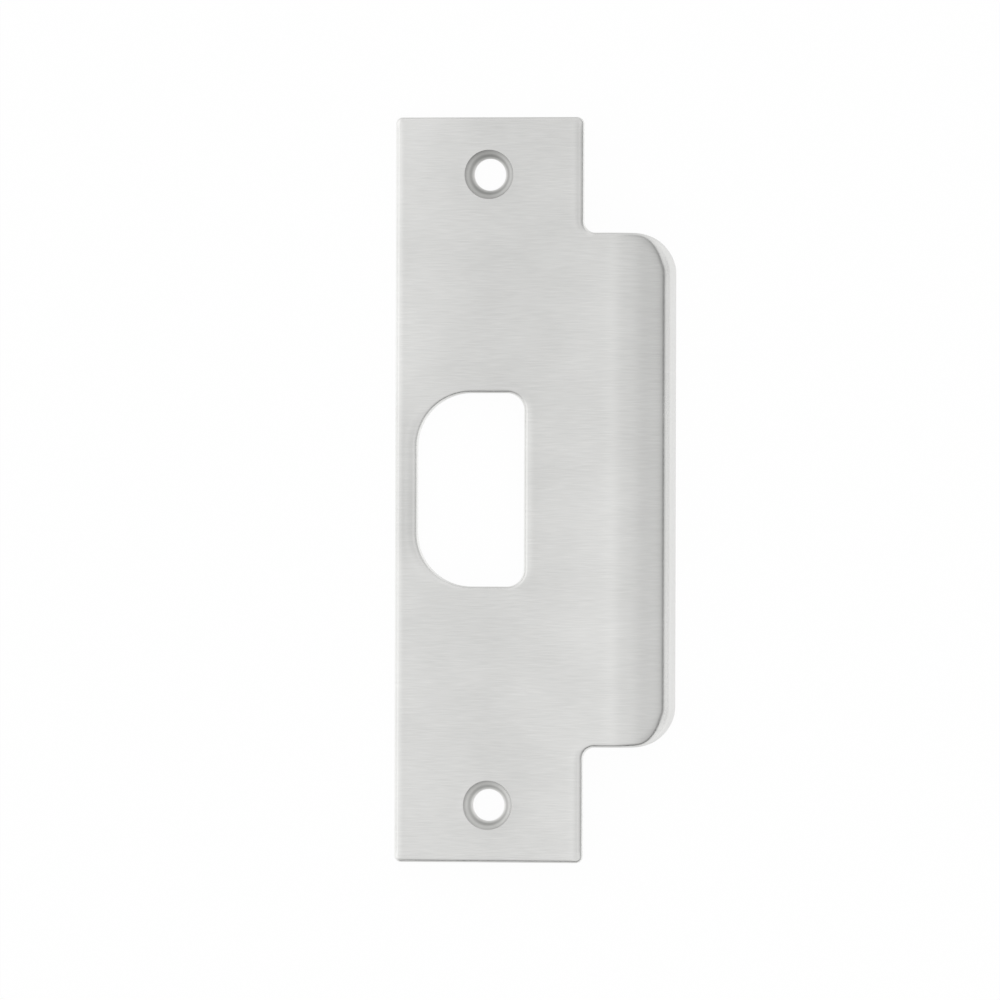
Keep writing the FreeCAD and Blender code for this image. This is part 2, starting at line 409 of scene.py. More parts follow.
class Rim:
    """A stretch of the stamping's contour: for each point its foot on the back, the wall's outward
    normal, the direction that the wall rises in, and the radii of its front and back edges."""

    def __init__(self, feet, walls, rises, front_radius, back_radius):
        self.feet = feet
        self.walls = np.broadcast_to(walls, feet.shape)
        self.rises = np.broadcast_to(rises, feet.shape)
        self.front_radius = np.broadcast_to(front_radius, len(feet))
        self.back_radius = np.broadcast_to(back_radius, len(feet))

    def arrays(self):
        """All that the stretch holds, in the order in which it is given."""
        return self.feet, self.walls, self.rises, self.front_radius, self.back_radius


def joined(rims):
    """The stretches one after the other."""
    return Rim(*(np.concatenate(arrays) for arrays in zip(*(rim.arrays() for rim in rims))))


def mirrored(rim):
    """The same stretch on the other side of the plane Y = 0, walked the other way."""
    return Rim(*(array[::-1] * MIRROR if array.ndim > 1 else array[::-1] for array in rim.arrays()))


def plate_rim(lines, front_radius, back_radius):
    """Rim of a stretch of the flat plate, whose walls stand square to it."""
    feet = np.concatenate([points for points, outward in lines])
    walls = np.concatenate([outward for points, outward in lines])
    level = np.zeros((len(feet), 1))
    return Rim(np.hstack([feet, level]), np.hstack([walls, level]), UP, front_radius, back_radius)


def nose_apex_x(sizes):
    """X where the end face would meet the lip's back if its tip were sharp: the tip's arc of radius r
    touches both and reaches the nose's X, so its centre is r / sin(wedge / 2) from the apex."""
    wedge = math.pi / 2 - sizes.lip_angle - sizes.nose_lean
    to_centre = sizes.back_radius / math.sin(wedge / 2)
    return sizes.nose - sizes.back_radius + to_centre * math.cos(sizes.lip_angle + wedge / 2)


def lip_corner_x(sizes):
    """X of the centres that the lip's corners turn about."""
    return nose_apex_x(sizes) - sizes.lip_corner_radius


def half_lip(sizes):
    """Half the length of the lip."""
    return sizes.length / 2 - sizes.tab_length


def cut_y(sizes):
    """Y of the line between the block round the latch hole and the one round the upper screw hole."""
    return (half_lip(sizes) + sizes.lip_root_radius) * -across_shares()[END_BLOCK_STEPS]


def tab_rim(sizes):
    """Round the lower tab, from the line between the blocks to the lip, with an arc at each corner."""
    half_width = sizes.width / 2
    half_length = sizes.length / 2
    corner = sizes.corner_radius
    root = sizes.lip_root_radius
    root_y = -half_lip(sizes) - root
    first_y = -cut_y(sizes)
    return plate_rim([
        straight((-half_width, first_y), (-half_width, corner - half_length), (-1, 0), LEFT_EDGE_STEPS),
        turn((corner - half_width, corner - half_length), corner, 180, 270, PLATE_CORNER_STEPS),
        straight((corner - half_width, -half_length), (half_width - corner, -half_length), (0, -1),
                 SHORT_EDGE_STEPS),
        turn((half_width - corner, corner - half_length), corner, -90, 0, PLATE_CORNER_STEPS),
        straight((half_width, corner - half_length), (half_width, root_y), (1, 0), TAB_EDGE_STEPS),
        turn((half_width + root, root_y), root, 180, 90, ROOT_STEPS, -1.0),
    ], sizes.roll_radius, sizes.back_radius)


def lip_side_rim(sizes, sheet):
    """The lip's lower side, straight from the root's arc to the corner."""
    half_width = sizes.width / 2
    root = sizes.lip_root_radius
    share = np.arange(LIP_SIDE_STEPS) / LIP_SIDE_STEPS
    x = half_width + root + (lip_corner_x(sizes) - half_width - root) * share
    feet = np.stack([x, np.full_like(x, -half_lip(sizes)), sheet.back(x)], axis=-1)
    return Rim(feet, np.array([0.0, -1.0, 0.0]), UP, sizes.roll_radius, sizes.back_radius)


def lip_corner_rim(sizes, sheet):
    """The lip's lower corner: feet centre + r (cos a, sin a) for a from -90 to 0 degrees. A share
    s^2 (3 - 2 s), where s falls from 1 to 0 over the fade, sets the lean by tan(lean) =
    share tan(nose lean), and the front's radius between the side's and the nose's. The wall's normal
    is square to its rise and to the line that runs round the corner at half its height, whose
    direction is taken from the points beside each point, so one more is worked out at both ends."""
    step = math.pi / 2 / LIP_CORNER_STEPS
    angle = -math.pi / 2 + step * np.arange(-1, LIP_CORNER_STEPS + 2)
    x = lip_corner_x(sizes) + sizes.lip_corner_radius * np.cos(angle)
    y = sizes.lip_corner_radius * np.sin(angle) - (half_lip(sizes) - sizes.lip_corner_radius)
    feet = np.stack([x, y, sheet.back(x)], axis=-1)
    share = np.clip((sizes.lean_end - np.abs(angle)) / sizes.lean_fade, 0.0, 1.0)
    share = share ** 2 * (3 - 2 * share)
    lean = np.arctan(math.tan(sizes.nose_lean) * share)
    rises = np.stack([
        -np.sin(lean) * np.cos(angle), -np.sin(lean) * np.sin(angle), np.cos(lean)], axis=-1)
    along = np.gradient(feet + rises * sizes.thickness / 2, axis=0)
    walls = unit(np.cross(along, rises))
    radii = sizes.roll_radius + (sizes.nose_roll_radius - sizes.roll_radius) * share
    return Rim(feet[1:-1], walls[1:-1], rises[1:-1], radii[1:-1], sizes.back_radius)


def nose_rim(sizes, sheet, wall):
    """The lip's straight nose, with the wall's normal that its corners end with."""
    x = nose_apex_x(sizes)
    y = (half_lip(sizes) - sizes.lip_corner_radius) * across_shares()[1:-1]
    feet = np.stack([np.full_like(y, x), y, np.full_like(y, sheet.back(x))], axis=-1)
    rise = np.array([-math.sin(sizes.nose_lean), 0.0, math.cos(sizes.nose_lean)])
    return Rim(feet, wall, rise, sizes.nose_roll_radius, sizes.back_radius)


def long_edge_rim(sizes):
    """The long edge beside the latch hole's block, walked downwards."""
    y = np.linspace(cut_y(sizes), -cut_y(sizes), ACROSS_STEPS - 2 * END_BLOCK_STEPS + 1)[1:-1]
    feet = np.stack([np.full_like(y, -sizes.width / 2), y, np.zeros_like(y)], axis=-1)
    return Rim(feet, np.array([-1.0, 0.0, 0.0]), UP, sizes.roll_radius, sizes.back_radius)


def outer_rim(sizes, sheet):
    """The whole outline, walked with the metal on its left. It is symmetric about Y = 0: the lower
    half from the long edge to the nose, the nose, the lower half mirrored, and the long edge."""
    corner = lip_corner_rim(sizes, sheet)
    lower = joined([tab_rim(sizes), lip_side_rim(sizes, sheet), corner])
    nose = nose_rim(sizes, sheet, corner.walls[-1])
    return joined([lower, nose, mirrored(lower), long_edge_rim(sizes)])


def latch_rim(sizes):
    """The latch hole's contour, walked anticlockwise from the middle of its lower tight corner.
    The walls' normals point into the hole."""
    left = sizes.latch_margin - sizes.width / 2
    right = left + sizes.latch_width
    half = sizes.latch_length / 2
    tight = sizes.latch_tight_radius
    round_ = sizes.latch_round_radius
    half_tight = LATCH_TIGHT_STEPS // 2
    return plate_rim([
        turn((right - tight, tight - half), tight, -45, 0, half_tight, -1.0),
        straight((right, tight - half), (right, half - tight), (-1, 0), LATCH_RIGHT_STEPS),
        turn((right - tight, half - tight), tight, 0, 90, LATCH_TIGHT_STEPS, -1.0),
        straight((right - tight, half), (left + round_, half), (0, -1), LATCH_SHORT_STEPS),
        turn((left + round_, half - round_), round_, 90, 180, LATCH_ROUND_STEPS, -1.0),
        straight((left, half - round_), (left, round_ - half), (1, 0), LATCH_LEFT_STEPS),
        turn((left + round_, round_ - half), round_, 180, 270, LATCH_ROUND_STEPS, -1.0),
        straight((left + round_, -half), (right - tight, -half), (0, 1), LATCH_SHORT_STEPS),
        turn((right - tight, tight - half), tight, -90, -45, half_tight, -1.0),
    ], sizes.roll_radius, sizes.burr_radius)


def seat_ball(rim, radius, level, sheet):
    """Centres of balls of that radius that touch the rim's wall and lie at that level in the sheet.
    Each slides up its wall by (level - its level) / (n . rise), repeated until it settles."""
    centres = rim.feet - rim.walls * radius[:, None] + rim.rises * sheet.thickness / 2
    for _ in range(SEAT_ROUNDS):
        climb = (sheet.normals(centres) * rim.rises).sum(-1)
        centres = centres + rim.rises * ((level - sheet.level(centres)) / climb)[:, None]
    return centres


def swing(first, last, steps):
    """Unit vectors that turn evenly from first to last: (sin((1 - s) w) a + sin(s w) b) / sin w."""
    between = np.arccos(np.clip((first * last).sum(-1), -1.0, 1.0))[:, None, None]
    share = np.linspace(0.0, 1.0, steps + 1)[None, :, None]
    begin = first[:, None, :]
    end = last[:, None, :]
    return (np.sin((1 - share) * between) * begin + np.sin(share * between) * end) / np.sin(between)


class Patch:
    """A grid of points with their normals, and for each point how far it sinks with the front (1 on
    the front and 0 on the back), how much of it is cut metal, and how much painted highlight it
    carries. The last row joins the first where the patch is closed."""

    def __init__(self, points, normals, sag, cut, worn, closed):
        self.points = points
        self.normals = normals
        self.sag = np.broadcast_to(sag, points.shape[:2])
        self.cut = np.broadcast_to(cut, points.shape[:2])
        self.worn = np.broadcast_to(worn, points.shape[:2])
        self.closed = closed


def rim_patch(rim, sheet):
    """The rim's strip: for each point an arc from the front's normal f to the wall's w, the straight
    wall, and an arc from the wall's normal to the back's. With t going from 0 to 1 over the front
    arc and back to 0 over the other one, it carries a painted highlight t c (1 - loss f . w), where c
    is the wall's part across the plate."""
    front_centres = seat_ball(rim, rim.front_radius, sheet.thickness - rim.front_radius, sheet)
    back_centres = seat_ball(rim, rim.back_radius, rim.back_radius, sheet)
    front_normals = sheet.normals(front_centres)
    roll = swing(front_normals, rim.walls, ROLL_STEPS)
    broken = swing(rim.walls, -sheet.normals(back_centres), BACK_EDGE_STEPS)
    roll_points = front_centres[:, None, :] + rim.front_radius[:, None, None] * roll
    broken_points = back_centres[:, None, :] + rim.back_radius[:, None, None] * broken
    share = np.linspace(0.0, 1.0, WALL_STEPS + 1)[1:-1]
    wall_points = (
        roll_points[:, -1:, :] * (1 - share)[None, :, None]
        + broken_points[:, :1, :] * share[None, :, None]
    )
    wall_normals = np.broadcast_to(rim.walls[:, None, :], wall_points.shape)
    turned = np.linspace(0.0, 1.0, ROLL_STEPS + 1)
    level = np.ones_like(share)
    back_turned = np.linspace(1.0, 0.0, BACK_EDGE_STEPS + 1)
    agreement = (front_normals * rim.walls).sum(-1)
    # Painted highlight along the front edge, strongest where the wall faces across the plate
    bright = np.abs(rim.walls[:, 0]) * (1 - HIGHLIGHT_LEAN_LOSS * agreement)
    return Patch(
        np.concatenate([roll_points, wall_points, broken_points], axis=1),
        np.concatenate([roll, wall_normals, broken], axis=1),
        np.concatenate([np.ones_like(turned), 1 - share, np.zeros_like(back_turned)]),
        np.concatenate([turned ** 3, level, back_turned]),
        np.concatenate([turned, level, back_turned]) * bright[:, None],
        True,
    )


def sharp_edge(rim, sheet):
    """The sharp line that the rounded front edge replaces, centre + r (f + w) / (1 + f . w), and the
    agreement f . w, which is 0 where the wall is square to the front and grows as it leans back."""
    centres = seat_ball(rim, rim.front_radius, sheet.thickness - rim.front_radius, sheet)
    fronts = sheet.normals(centres)
    agreement = (fronts * rim.walls).sum(-1)
    reach = rim.front_radius / (1 + agreement)
    return centres + reach[:, None] * (fronts + rim.walls), agreement


def worn_line(rim, sheet, least):
    """The sharp front edge with its wear (1 - f . w) (least + (1 - least) c^2), where c is the wall's
    part across the plate: the brushing belt rounds most the edges that it crosses."""
    sharp, agreement = sharp_edge(rim, sheet)
    wear = (1 - agreement) * (least + (1 - least) * rim.walls[:, 0] ** 2)
    return np.hstack([sharp, wear[:, None]])


def leaning_line(rim, sheet):
    """The sharp front edge with f . w for its wear, which is 0 but along the lip's nose and corners."""
    sharp, agreement = sharp_edge(rim, sheet)
    return np.hstack([sharp, agreement[:, None]])


def screw_patch(sizes, y, angles):
    """A screw hole's surface of revolution. Its profile is a polygon in (radius, z) with a small arc
    at each corner: front face, countersink, bore, back face. Its cut metal carries a painted
    highlight, a share of c^2, where c is the part across the plate of the ray from the hole's middle."""
    half_angle = sizes.sink_angle / 2
    slant = math.tan(half_angle)
    top = sizes.thickness
    seat = top - (sizes.sink_radius - sizes.screw_radius) / slant
    corners = np.array([
        [sizes.sink_radius, top],
        [sizes.screw_radius, seat],
        [sizes.screw_radius, 0.0],
    ])
    faces = np.array([
        [0.0, 1.0],
        [-math.cos(half_angle), math.sin(half_angle)],
        [-1.0, 0.0],
        [0.0, -1.0],
    ])
    radius = sizes.burr_radius
    before = faces[:-1]
    after = faces[1:]
    facing = 1 + (before * after).sum(-1, keepdims=True)
    centres = corners - radius * (before + after) / facing
    turned = swing(before, after, BACK_EDGE_STEPS)
    profile = (centres[:, None, :] + radius * turned).reshape(-1, 2)
    normals = turned.reshape(-1, 2)
    ray = np.stack([np.cos(angles), np.sin(angles), np.zeros_like(angles)], axis=-1)
    middle = np.array([0.0, y, 0.0])
    points = middle + ray[:, None, :] * profile[None, :, :1] + UP * profile[None, :, 1:]
    outward = ray[:, None, :] * normals[None, :, :1] + UP * normals[None, :, 1:]
    sag = np.clip(profile[:, 1] / top, 0.0, 1.0)
    cut = np.clip((top - profile[:, 1]) / radius, 0.0, 1.0)
    back_arc = np.arange(len(profile)) >= len(profile) - BACK_EDGE_STEPS - 1
    cut = np.where(back_arc, np.clip(profile[:, 1] / radius, 0.0, 1.0), cut)
    # Painted highlight on the countersink's sides across the plate
    return Patch(points, outward, sag, cut, SCREW_HIGHLIGHT * ray[:, :1] ** 2 * cut, True)


def closer_at_ends(steps):
    """Shares from 0 to 1 that lie closer together towards both ends: (1 - cos(s pi)) / 2."""
    return (1 - np.cos(np.linspace(0.0, math.pi, steps + 1))) / 2


def ruled(inner, outer, steps):
    """Grid between two loops with as many points: inner + s (outer - inner)."""
    share = closer_at_ends(steps)[None, :, None]
    return inner[:, None, :] * (1 - share) + outer[:, None, :] * share


def line_between(start, end, steps):
    """Points start + s (end - start) for s from 0 up to but not with 1."""
    share = np.arange(steps)[:, None] / steps
    return start * (1 - share) + end * share


def block_angles(loop, y):
    """Angle of each of the loop's points about the screw hole at that y."""
    return np.arctan2(loop[:, 1] - y, loop[:, 0])


def face_loops(line):
    """Divides one face, front or back, within the line round its edge: the grid of the lip, and the
    loops round the latch hole's block and the lower screw hole's block."""
    tab_end = LEFT_EDGE_STEPS + 2 * PLATE_CORNER_STEPS + SHORT_EDGE_STEPS + TAB_EDGE_STEPS
    nose_start = tab_end + ROOT_STEPS + LIP_SIDE_STEPS + LIP_CORNER_STEPS
    columns = line[tab_end:nose_start + 1]
    shares = across_shares()
    lip = np.stack([
        np.broadcast_to(columns[:, :1], (len(columns), len(shares))),
        -columns[:, 1:2] * shares[None, :],
        np.broadcast_to(columns[:, 2:], (len(columns), len(shares))),
    ], axis=-1)
    seam = lip[0]
    low_cut = seam[END_BLOCK_STEPS]
    high_cut = seam[-1 - END_BLOCK_STEPS]
    left_low = line[0]
    left_high = left_low * MIRROR
    left_start = len(line) - (ACROSS_STEPS - 2 * END_BLOCK_STEPS)
    middle = np.concatenate([
        seam[END_BLOCK_STEPS:-1 - END_BLOCK_STEPS],
        line_between(high_cut, left_high, SHORT_EDGE_STEPS),
        line[left_start:],
        line_between(left_low, low_cut, SHORT_EDGE_STEPS),
    ])
    end = np.concatenate([
        line[:tab_end],
        seam[:END_BLOCK_STEPS],
        line_between(low_cut, left_low, SHORT_EDGE_STEPS),
    ])
    return lip, middle, end


def screw_patches(sizes, block):
    """Both screw holes. The block is the loop round the lower one, and the upper one mirrors it."""
    low_y = -sizes.screw_spacing / 2
    low = screw_patch(sizes, low_y, block_angles(block, low_y))
    high = Patch(low.points * MIRROR, low.normals * MIRROR, low.sag, low.cut, low.worn, True)
    return [low, high]


def screw_ring_radius(sizes, front):
    """Radius at which a screw hole's rounded rim meets the front or the back: the small arc's centre
    is corner - r (n + m) / (1 + n . m), where n and m are the normals of the faces that it joins."""
    if not front:
        return sizes.screw_radius + sizes.burr_radius
    half_angle = sizes.sink_angle / 2
    before = np.array([0.0, 1.0])
    after = np.array([-math.cos(half_angle), math.sin(half_angle)])
    return sizes.sink_radius - sizes.burr_radius * (before + after)[0] / (1 + before @ after)


def face_patches(line, latch_ring, sizes, sheet, front):
    """One face of the stamping. The lip is straight columns between its two sides, and the plate is
    ruled from the latch hole and the screw holes out to the loops round them."""
    lip, middle, end = face_loops(line)
    low_y = -sizes.screw_spacing / 2
    angles = block_angles(end, low_y)
    radius = screw_ring_radius(sizes, front)
    ring = np.stack([radius * np.cos(angles), radius * np.sin(angles) + low_y, end[:, 2]], axis=-1)
    low_end = ruled(ring, end, SCREW_BLOCK_STEPS)
    grids = [
        (lip, False),
        (ruled(latch_ring, middle, HOLE_BLOCK_STEPS), True),
        (low_end, True),
        (low_end * MIRROR, True),
    ]
    side = 1.0 if front else -1.0
    sag = 1.0 if front else 0.0
    return [Patch(grid, side * sheet.normals(grid), sag, 0.0, 0.0, closed) for grid, closed in grids]


def quads(rows, columns, closed):
    """Corner numbers of a grid's faces, the last row joined to the first where it is closed."""
    number = np.arange(rows * columns).reshape(rows, columns)
    following = np.roll(number, -1, axis=0)
    if not closed:
        number = number[:-1]
        following = following[:-1]
    return np.stack([
        number[:, :-1], following[:, :-1], following[:, 1:], number[:, 1:],
    ], axis=-1).reshape(-1, 4)


def welded(patches):
    """Joins the patches into one mesh: a table with a row for each point, of its place, normal, sag,
    cut and painted highlight, and the corner numbers of the faces. Points at one place become one
    point, and each patch's faces are turned so that they agree with its normals."""
    tables = []
    faces = []
    first = 0
    for patch in patches:
        rows, columns = patch.points.shape[:2]
        table = np.dstack([patch.points, patch.normals, patch.sag, patch.cut, patch.worn])
        table = table.reshape(rows * columns, -1)
        own_faces = quads(rows, columns, patch.closed)
        points = table[:, :3]
        edge_one = points[own_faces[:, 2]] - points[own_faces[:, 0]]
        edge_two = points[own_faces[:, 3]] - points[own_faces[:, 1]]
        if (np.cross(edge_one, edge_two) * table[own_faces[:, 0], 3:6]).sum() < 0:
            own_faces = own_faces[:, ::-1]
        tables.append(table)
        faces.append(own_faces + first)
        first += rows * columns
    table = np.concatenate(tables)
    key = np.round(table[:, :3] / WELD).astype(np.int64)
    kept, place = np.unique(key, axis=0, return_index=True, return_inverse=True)[1:]
    return table[kept], place.reshape(-1)[np.concatenate(faces)]


def evenly(line, spacing):
    """The same closed line through points that are evenly spaced along it, with their wear."""
    closed = np.vstack([line, line[:1]])
    lengths = np.linalg.norm(np.diff(closed[:, :3], axis=0), axis=-1)
    along = np.concatenate([[0.0], np.cumsum(lengths)])
    count = int(math.ceil(along[-1] / spacing))
    places = np.arange(count) * along[-1] / count
    return np.stack([np.interp(places, along, closed[:, axis]) for axis in range(line.shape[1])], axis=-1)


def field(points, line, width):
    """Sum over the points q of a closed line, with their wear k, of
    k exp(-|p - q|^2 / width^2) ds / (width sqrt(pi)). It is k on a long straight line and fades away
    from it. Also its gradient."""
    line = evenly(line, width * FIELD_SPACING)
    step = np.linalg.norm(line[1, :3] - line[0, :3])
    total = np.zeros(len(points))
    slope = np.zeros_like(points)
    for *place, wear in line:
        offset = points - place
        part = wear * np.exp((offset ** 2).sum(-1) / -width ** 2)
        total += part
        slope += offset * part[:, None]
    share = step / (width * math.sqrt(math.pi))
    return total * share, slope * (share * -2 / width ** 2)


def circle_line(radius, y, z):
    """Points of a countersink's rim, each with a wear of 1."""
    angle = np.linspace(0.0, 2 * math.pi, CIRCLE_STEPS, endpoint=False)
    return np.stack([
        radius * np.cos(angle), y + radius * np.sin(angle), np.full_like(angle, z), np.ones_like(angle),
    ], axis=-1)


def sunk(points, normals, sags, lines, sheet):
    """Sinks each point p along the front's normal f by d(p), the sum of the lines' fields times their
    depths and the point's own share. The normal n becomes n + g (n . f) / (1 - f . g), where g is the
    part of d's gradient along the surface."""
    moving = sags > 0
    there = points[moving]
    drop = np.zeros(len(there))
    slope = np.zeros_like(there)
    for line, depth, width in lines:
        value, gradient = field(there, line, width)
        drop += depth * value
        slope += depth * gradient
    drop *= sags[moving]
    slope *= sags[moving][:, None]
    facing = normals[moving]
    fronts = sheet.normals(there)
    slope -= facing * (slope * facing).sum(-1, keepdims=True)
    turned = (facing * fronts).sum(-1, keepdims=True) / (1 - (slope * fronts).sum(-1, keepdims=True))
    points = points.copy()
    normals = normals.copy()
    points[moving] = there - fronts * drop[:, None]
    normals[moving] = unit(facing + slope * turned)
    return points, normals


def sag_lines(sizes, sheet, outline, outer_line, latch_line):
    """The lines that the front sinks towards, with their depths and widths."""
    lines = [
        (outer_line, sizes.edge_sag, sizes.edge_sag_width),
        (leaning_line(outline, sheet), sizes.nose_sag, sizes.nose_sag_width),
        (latch_line, sizes.latch_sag, sizes.latch_sag_width),
        (latch_line, sizes.dish, sizes.dish_width),
    ]
    for y in (-sizes.screw_spacing / 2, sizes.screw_spacing / 2):
        rim = circle_line(sizes.sink_radius, y, sizes.thickness)
        lines.append((rim, sizes.sink_sag, sizes.sink_sag_width))
    return lines


def turned_further(normals, turns):
    """Normals turned further towards the lip by t: (x cos t + z sin t, y, z cos t - x sin t)."""
    return np.stack([
        normals[:, 0] * np.cos(turns) + normals[:, 2] * np.sin(turns),
        normals[:, 1],
        normals[:, 2] * np.cos(turns) - normals[:, 0] * np.sin(turns),
    ], axis=-1)


def stamping(sizes):
    """The whole surface: points, normals, faces, and for each point how much of it is a punched wall
    or a countersink, how much painted highlight it carries, and how much painted shade falls on the
    narrow strip between the outline and the latch hole, which is the product of their fields."""
    sheet = BentSheet(sizes)
    outline = outer_rim(sizes, sheet)
    hole = latch_rim(sizes)
    outer = rim_patch(outline, sheet)
    latch = rim_patch(hole, sheet)
    patches = [outer, latch]
    for row, front in ((0, True), (-1, False)):
        patches += face_patches(outer.points[:, row], latch.points[:, row], sizes, sheet, front)
    patches += screw_patches(sizes, face_loops(outer.points[:, 0])[2])
    table, faces = welded(patches)
    points = table[:, :3]
    sags, cuts, painted_highlights = table[:, 6:].T
    outer_line = worn_line(outline, sheet, sizes.belt_least)
    latch_line = worn_line(hole, sheet, sizes.belt_least)
    # Painted shade on the narrow strip between the outline and the latch hole: the product of their fields
    strip_shade = (
        field(points, outer_line, sizes.dish_width)[0] * field(points, latch_line, sizes.dish_width)[0])
    reach = np.hypot(points[:, 0], np.abs(points[:, 1]) - sizes.screw_spacing / 2)
    sinks = np.where(reach < sizes.sink_radius, cuts, 0.0)
    further = sheet.smoothing(points)
    lines = sag_lines(sizes, sheet, outline, outer_line, latch_line)
    points, normals = sunk(points, table[:, 3:6], sags, lines, sheet)
    attributes = {"cut": cuts - sinks, "worn": painted_highlights, "sink": sinks, "strip_shade": strip_shade}
    return points, turned_further(normals, further), faces, attributes


def mesh_object(name, points, normals, faces, attributes, material):
    """A mesh object in the row's frame with its own normals and point attributes."""
    mesh = bpy.data.meshes.new(name)
    mesh.vertices.add(len(points))
    mesh.vertices.foreach_set("co", points.astype(np.float32).ravel())
    mesh.loops.add(faces.size)
    mesh.loops.foreach_set("vertex_index", faces.astype(np.int32).ravel())
    mesh.polygons.add(len(faces))
    mesh.polygons.foreach_set("loop_start", np.arange(0, faces.size, 4, dtype=np.int32))
    mesh.update(calc_edges=True)
    if mesh.validate():
        raise RuntimeError("the mesh of " + name + " had faces that don't hold together")
    mesh.shade_smooth()
    mesh.normals_split_custom_set_from_vertices(normals.astype(np.float32))
    for title, values in attributes.items():
        layer = mesh.attributes.new(title, "FLOAT", "POINT")
        layer.data.foreach_set("value", values.astype(np.float32))
    mesh.materials.append(material)
    piece = bpy.data.objects.new(name, mesh)
    bpy.context.scene.collection.objects.link(piece)
    return piece


class Signal:
    """A shader socket that can stand in sums, products and powers."""

    def __init__(self, graph, socket):
        self.graph = graph
        self.socket = socket

    def maths(self, operation, *others):
        """A Math node of this value and then the others."""
        return self.graph.node("ShaderNodeMath", {"operation": operation}, self, *others)

    def reflected(self, operation, other):
        """A Math node of the other value and then this one."""
        return self.graph.node("ShaderNodeMath", {"operation": operation}, other, self)

    def __add__(self, other):
        return self.maths("ADD", other)

    __radd__ = __add__

    def __sub__(self, other):
        return self.maths("SUBTRACT", other)

    def __rsub__(self, other):
        return self.reflected("SUBTRACT", other)

    def __mul__(self, other):
        return self.maths("MULTIPLY", other)

    __rmul__ = __mul__

    def __truediv__(self, other):
        return self.maths("DIVIDE", other)

    def __rtruediv__(self, other):
        return self.reflected("DIVIDE", other)

    def __pow__(self, other):
        return self.maths("POWER", other)

    def __rpow__(self, other):
        return self.reflected("POWER", other)

    def __neg__(self):
        return self.maths("MULTIPLY", -1.0)

    def bell(self):
        """exp(-v^2) of this value v."""
        return (-(self * self)).maths("EXPONENT")


def named_socket(place):
    """A socket's number, or its name from a keyword: Base_Color is Base Color, and _6 is number 6."""
    if isinstance(place, int):
        return place
    if place[1:].isdigit():
        return int(place[1:])
    return place.replace("_", " ")


# Finer layers of every noise, and how strong each is beside the one before
NOISE_DETAIL = 2.0
NOISE_ROUGHNESS = 0.5


class Graph:
    """The node tree of a material or a world."""

    def __init__(self, owner):
        owner.use_nodes = True
        self.tree = owner.node_tree
        self.tree.nodes.clear()

    def node(self, kind, settings, *values, output=0, **named):
        """Adds a node, sets it up, fills its sockets by place or by name, and gives one output."""
        made = self.tree.nodes.new(kind)
        for setting, value in settings.items():
            setattr(made, setting, value)
        for place, value in list(enumerate(values)) + list(named.items()):
            socket = made.inputs[named_socket(place)]
            if isinstance(value, Signal):
                self.tree.links.new(value.socket, socket)
            else:
                socket.default_value = value
        if not made.outputs:
            return None
        return Signal(self, made.outputs[output])

    def attribute(self, name):
        """A number that the mesh holds for each of its points."""
        return self.node("ShaderNodeAttribute", {"attribute_name": name}, output="Fac")

    def part(self, vector, axis):
        """How much of a vector points along an axis."""
        return self.node(
            "ShaderNodeVectorMath", {"operation": "DOT_PRODUCT"}, vector, axis, output="Value")

    def noise(self, place, size):
        """Noise from about 0.25 to 0.75, whose features have that size in each direction."""
        stretched = self.node(
            "ShaderNodeMapping", {"vector_type": "POINT"}, place, Scale=tuple(1.0 / s for s in size))
        return self.node(
            "ShaderNodeTexNoise", {"noise_dimensions": "3D"}, Vector=stretched, Scale=1.0,
            Detail=NOISE_DETAIL, Roughness=NOISE_ROUGHNESS)


# The steel's tone is 0 at its dark colour and 1 at its light one. First its middle, which is that of
# every noise too, then how strongly each noise shows, and how much it falls for each metre to the lip,
# which is painted shade
MIDDLE = 0.5
FINE_TONE = 0.75
BROAD_TONE = 0.1
CLOUD_TONE = 0.6
LIP_PAINTED_SHADE = 5.0

# A broad streak is so many brush lines long and wide, and a tear in a punched wall so many long
BROAD_LENGTHS = 2
BROAD_WIDTHS = 3
TEAR_LENGTHS = 4

# Size of the clouds across and along the plate, in metres
CLOUD_LENGTH = 0.014
CLOUD_WIDTH = 0.009

# What is taken from the tone of punched walls and of countersinks, in a countersink partly its duller
# turned finish and partly painted shade in its hollow; how much a countersink's tone falls for each
# metre towards the plate's head, which is painted light; what the painted highlight on the edges adds
# to the tone, and what the painted shade on the narrow strip beside the latch hole takes from it
PUNCHED_LOSS = 0.8
SINK_LOSS = 0.15
SINK_PAINTED_LIGHT_TREND = 5.0
HIGHLIGHT_TONE = 2.5
STRIP_SHADE_TONE = 1.5

# How much the broad streaks and the clouds change the roughness
BROAD_ROUGHNESS = 0.06
CLOUD_ROUGHNESS = 0.08


